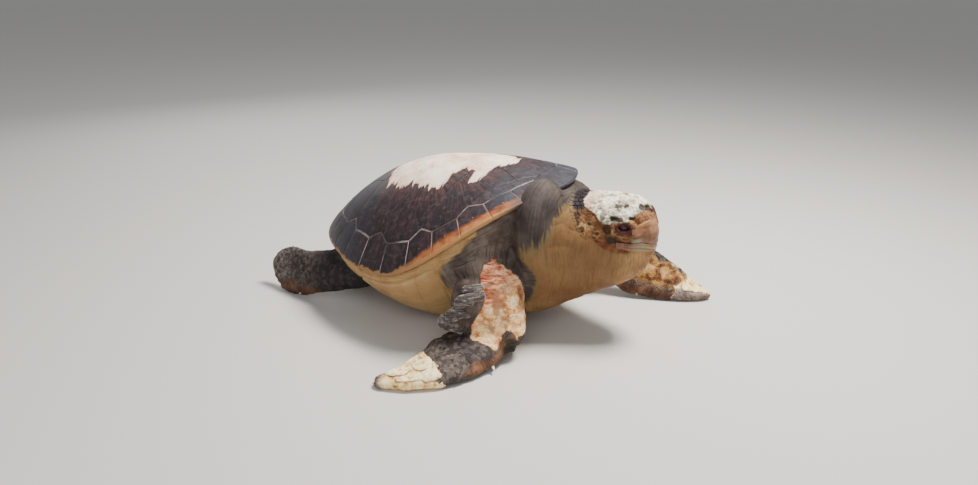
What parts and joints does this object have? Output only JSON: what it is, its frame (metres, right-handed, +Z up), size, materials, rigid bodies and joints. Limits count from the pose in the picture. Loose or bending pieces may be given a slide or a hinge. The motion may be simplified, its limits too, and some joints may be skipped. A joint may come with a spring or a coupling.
{
  "type": "loggerhead turtle",
  "caption": "Life-size loggerhead sea turtle lying on its plastron with the head raised and the flippers spread, weathered shell, still model.",
  "frame": {"origin": "on the floor under the middle of the shell, on the flat of the plastron that it rests on", "axes": "+X forward towards the head, +Y to the animal's left, +Z up"},
  "size_m": [1.3793, 0.9755, 0.4911],
  "materials": {
    "scute": "dark brown-purple horn with streaks, bleached bare bone on top",
    "plastron": "tan-yellow horn plates under the belly",
    "skin": "wrinkled skin, grey-brown above and tan-yellow below, peeled in places",
    "beak": "worn horn, pinkish brown",
    "eye": "dark red, moist",
    "claw": "pale horn"
  },
  "bodies": {
    "root": {"claw_front_left": "claw", "claw_front_right": "claw", "claw_hind_left": "claw", "claw_hind_right": "claw", "costal_left_1": "scute", "costal_left_2": "scute", "costal_left_3": "scute", "costal_left_4": "scute", "costal_left_5": "scute", "costal_right_1": "scute", "costal_right_2": "scute", "costal_right_3": "scute", "costal_right_4": "scute", "costal_right_5": "scute", "eye_left": "eye", "eye_right": "eye", "fore_flipper_left": "skin", "fore_flipper_right": "skin", "head": "skin", "hind_flipper_left": "skin", "hind_flipper_right": "skin", "lower_jaw": "beak", "marginal_left_1": "scute", "marginal_left_10": "scute", "marginal_left_11": "scute", "marginal_left_12": "scute", "marginal_left_2": "scute", "marginal_left_3": "scute", "marginal_left_4": "scute", "marginal_left_5": "scute", "marginal_left_6": "scute", "marginal_left_7": "scute", "marginal_left_8": "scute", "marginal_left_9": "scute", "marginal_right_1": "scute", "marginal_right_10": "scute", "marginal_right_11": "scute", "marginal_right_12": "scute", "marginal_right_2": "scute", "marginal_right_3": "scute", "marginal_right_4": "scute", "marginal_right_5": "scute", "marginal_right_6": "scute", "marginal_right_7": "scute", "marginal_right_8": "scute", "marginal_right_9": "scute", "neck": "skin", "nuchal": "scute", "plastron": "plastron", "tail": "skin", "trunk": "skin", "upper_arm_left": "skin", "upper_arm_right": "skin", "upper_beak": "beak", "vertebral_1": "scute", "vertebral_2": "scute", "vertebral_3": "scute", "vertebral_4": "scute", "vertebral_5": "scute"}
  },
  "joints": []
}
